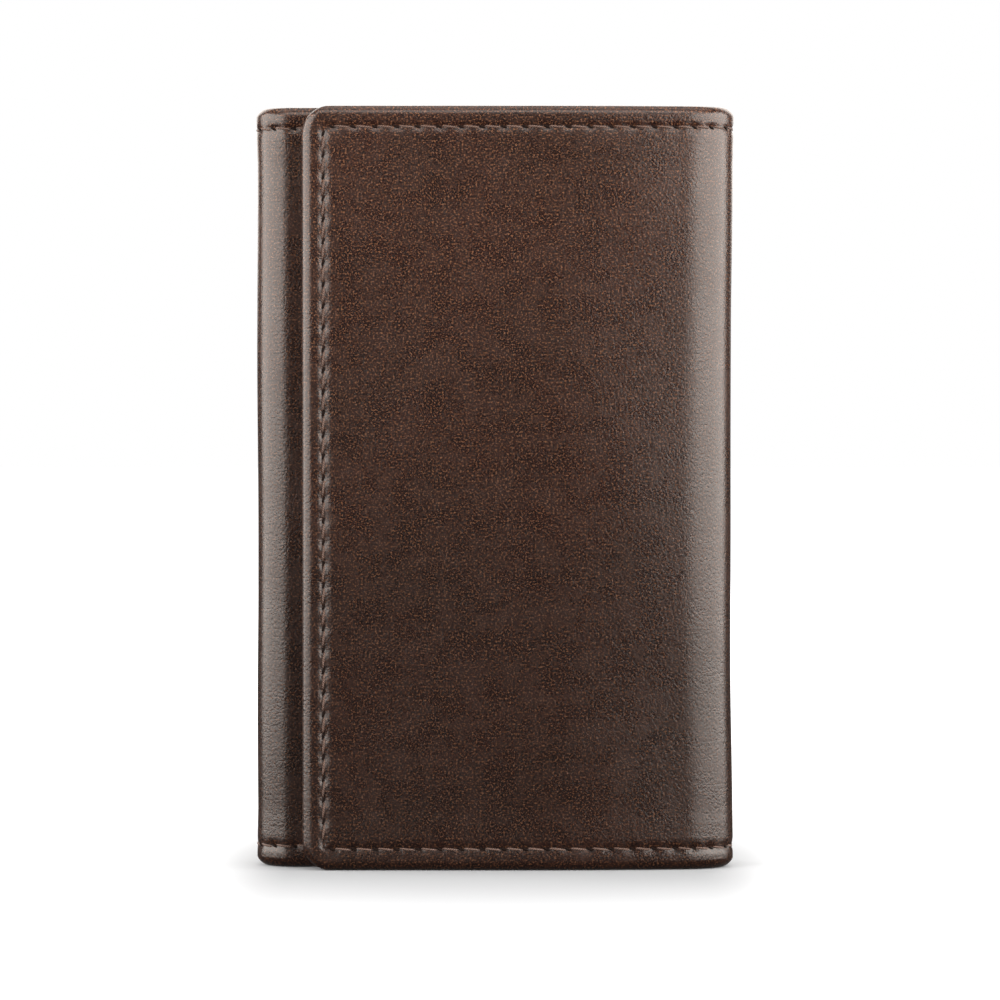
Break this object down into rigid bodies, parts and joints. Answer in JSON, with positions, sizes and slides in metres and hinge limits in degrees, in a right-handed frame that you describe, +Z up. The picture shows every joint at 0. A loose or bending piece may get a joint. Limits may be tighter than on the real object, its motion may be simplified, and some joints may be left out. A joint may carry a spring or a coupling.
{
  "type": "trifold wallet",
  "caption": "Trifold wallet in dark leather, closed in a letter fold and standing upright, with hinged outer and inner flaps, note bay, stepped card slots and photo window",
  "frame": {"origin": "middle of the base of the closed wallet", "axes": "+Z up along the fold lines (height), +Y out of the back of the middle panel (thickness), +X towards the right fold; the outer flap faces -Y"},
  "size_m": [0.071, 0.015, 0.114],
  "materials": {
    "hide": "waxed dark brown hide, semi-gloss with a fine pebble grain",
    "pocket_leather": "thin dark brown lining leather, satin",
    "lining_cloth": "brown twill lining cloth, matt",
    "stiffener_board": "grey-brown board",
    "thread": "dark brown bonded thread",
    "window_film": "clear film"
  },
  "bodies": {
    "centre": {"centre_bay_divider": "lining_cloth", "centre_bay_lining": "lining_cloth", "centre_card_slot_back": "pocket_leather", "centre_card_slot_front": "pocket_leather", "centre_card_slot_middle": "pocket_leather", "centre_shell_leather": "hide", "centre_stiffener_board": "stiffener_board", "centre_thread": "thread"},
    "outer_flap": {"outer_flap_bay_divider": "lining_cloth", "outer_flap_bay_lining": "lining_cloth", "outer_flap_shell_leather": "hide", "outer_flap_slip_pocket": "pocket_leather", "outer_flap_stiffener_board": "stiffener_board", "outer_flap_thread": "thread", "outer_flap_window_film": "window_film", "outer_flap_window_frame": "pocket_leather"},
    "inner_flap": {"inner_flap_bay_divider": "lining_cloth", "inner_flap_bay_lining": "lining_cloth", "inner_flap_shell_leather": "hide", "inner_flap_slip_pocket": "pocket_leather", "inner_flap_stiffener_board": "stiffener_board", "inner_flap_thread": "thread"},
    "right_strip_1": {"right_strip_1_divider": "lining_cloth", "right_strip_1_leather": "hide", "right_strip_1_lining": "lining_cloth", "right_strip_1_thread": "thread"},
    "right_strip_2": {"right_strip_2_divider": "lining_cloth", "right_strip_2_leather": "hide", "right_strip_2_lining": "lining_cloth", "right_strip_2_thread": "thread"},
    "right_strip_3": {"right_strip_3_divider": "lining_cloth", "right_strip_3_leather": "hide", "right_strip_3_lining": "lining_cloth", "right_strip_3_thread": "thread"},
    "left_strip_1": {"left_strip_1_divider": "lining_cloth", "left_strip_1_leather": "hide", "left_strip_1_lining": "lining_cloth", "left_strip_1_thread": "thread"},
    "left_strip_2": {"left_strip_2_divider": "lining_cloth", "left_strip_2_leather": "hide", "left_strip_2_lining": "lining_cloth", "left_strip_2_thread": "thread"},
    "left_strip_3": {"left_strip_3_divider": "lining_cloth", "left_strip_3_leather": "hide", "left_strip_3_lining": "lining_cloth", "left_strip_3_thread": "thread"}
  },
  "joints": [
    {"name": "right_fold_1", "type": "hinge", "parent": "centre", "child": "right_strip_1", "pos_m": [0.028, 0.0075, 0.057], "axis": [0, 0, 1], "range_deg": [0, 30]},
    {"name": "right_fold_2", "type": "hinge", "parent": "right_strip_1", "child": "right_strip_2", "pos_m": [0.0345, 0.00375, 0.057], "axis": [0, 0, 1], "range_deg": [0, 60]},
    {"name": "right_fold_3", "type": "hinge", "parent": "right_strip_2", "child": "right_strip_3", "pos_m": [0.0345, -0.00375, 0.057], "axis": [0, 0, 1], "range_deg": [0, 60]},
    {"name": "right_fold_4", "type": "hinge", "parent": "right_strip_3", "child": "outer_flap", "pos_m": [0.028, -0.0075, 0.057], "axis": [0, 0, 1], "range_deg": [0, 30]},
    {"name": "left_fold_1", "type": "hinge", "parent": "centre", "child": "left_strip_1", "pos_m": [-0.0305, 0.0075, 0.057], "axis": [0, 0, -1], "range_deg": [0, 30]},
    {"name": "left_fold_2", "type": "hinge", "parent": "left_strip_1", "child": "left_strip_2", "pos_m": [-0.03483, 0.005, 0.057], "axis": [0, 0, -1], "range_deg": [0, 60]},
    {"name": "left_fold_3", "type": "hinge", "parent": "left_strip_2", "child": "left_strip_3", "pos_m": [-0.03483, 0, 0.057], "axis": [0, 0, -1], "range_deg": [0, 60]},
    {"name": "left_fold_4", "type": "hinge", "parent": "left_strip_3", "child": "inner_flap", "pos_m": [-0.0305, -0.0025, 0.057], "axis": [0, 0, -1], "range_deg": [0, 30]}
  ],
  "couplings": [
    {"joint": "right_fold_2", "follows": "right_fold_1", "ratio": 2},
    {"joint": "right_fold_3", "follows": "right_fold_1", "ratio": 2},
    {"joint": "right_fold_4", "follows": "right_fold_1", "ratio": 1},
    {"joint": "left_fold_1", "follows": "right_fold_1", "ratio": 1},
    {"joint": "left_fold_2", "follows": "right_fold_1", "ratio": 2},
    {"joint": "left_fold_3", "follows": "right_fold_1", "ratio": 2},
    {"joint": "left_fold_4", "follows": "right_fold_1", "ratio": 1}
  ]
}
